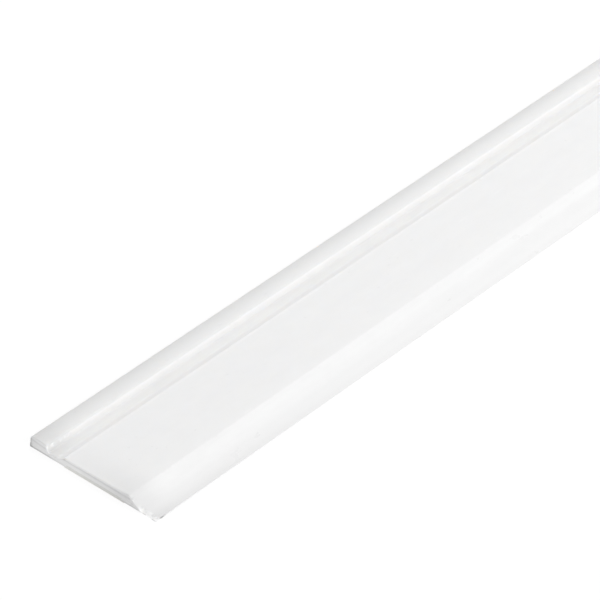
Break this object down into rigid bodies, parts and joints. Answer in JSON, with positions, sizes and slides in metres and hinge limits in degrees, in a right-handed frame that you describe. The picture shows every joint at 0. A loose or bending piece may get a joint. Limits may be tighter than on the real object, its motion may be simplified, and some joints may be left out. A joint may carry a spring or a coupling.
{
  "type": "door sweep",
  "caption": "Self-adhesive vinyl door sweep: a flat rigid strip with a rounded bead, a shallow groove, a raised panel with a rounded shoulder, and a thin soft wiping lip.",
  "frame": {"origin": "middle of the release liner's outer face, at mid-length and at the middle of the strip's overall width; the strip lies on its back on z = 0", "axes": "+X along the strip, +Y towards the bead (the upper edge on a door) with the wiping lip at -Y, +Z out of the front face"},
  "size_m": [0.9144, 0.0444, 0.0039],
  "materials": {
    "rigid_vinyl": "semi-gloss white rigid PVC",
    "soft_vinyl": "satin white flexible vinyl, slightly translucent",
    "foam_tape": "white closed-cell foam with clear adhesive",
    "release_liner": "satin siliconised release paper"
  },
  "bodies": {
    "carrier": {"carrier_strip": "rigid_vinyl", "fin_root": "soft_vinyl", "foam_tape": "foam_tape"},
    "lip": {"fin_lip": "soft_vinyl"},
    "liner": {"release_liner": "release_liner"}
  },
  "joints": [
    {"name": "lip_flex", "type": "hinge", "parent": "carrier", "child": "lip", "pos_m": [0, -0.01638, 0.0005], "axis": [-1, 0, 0], "range_deg": [-60, 60], "stiffness_Nm_per_rad": 0.02},
    {"name": "liner_peel", "type": "slide", "parent": "carrier", "child": "liner", "axis": [0, 0, -1], "range_m": [0, 0.03]}
  ]
}
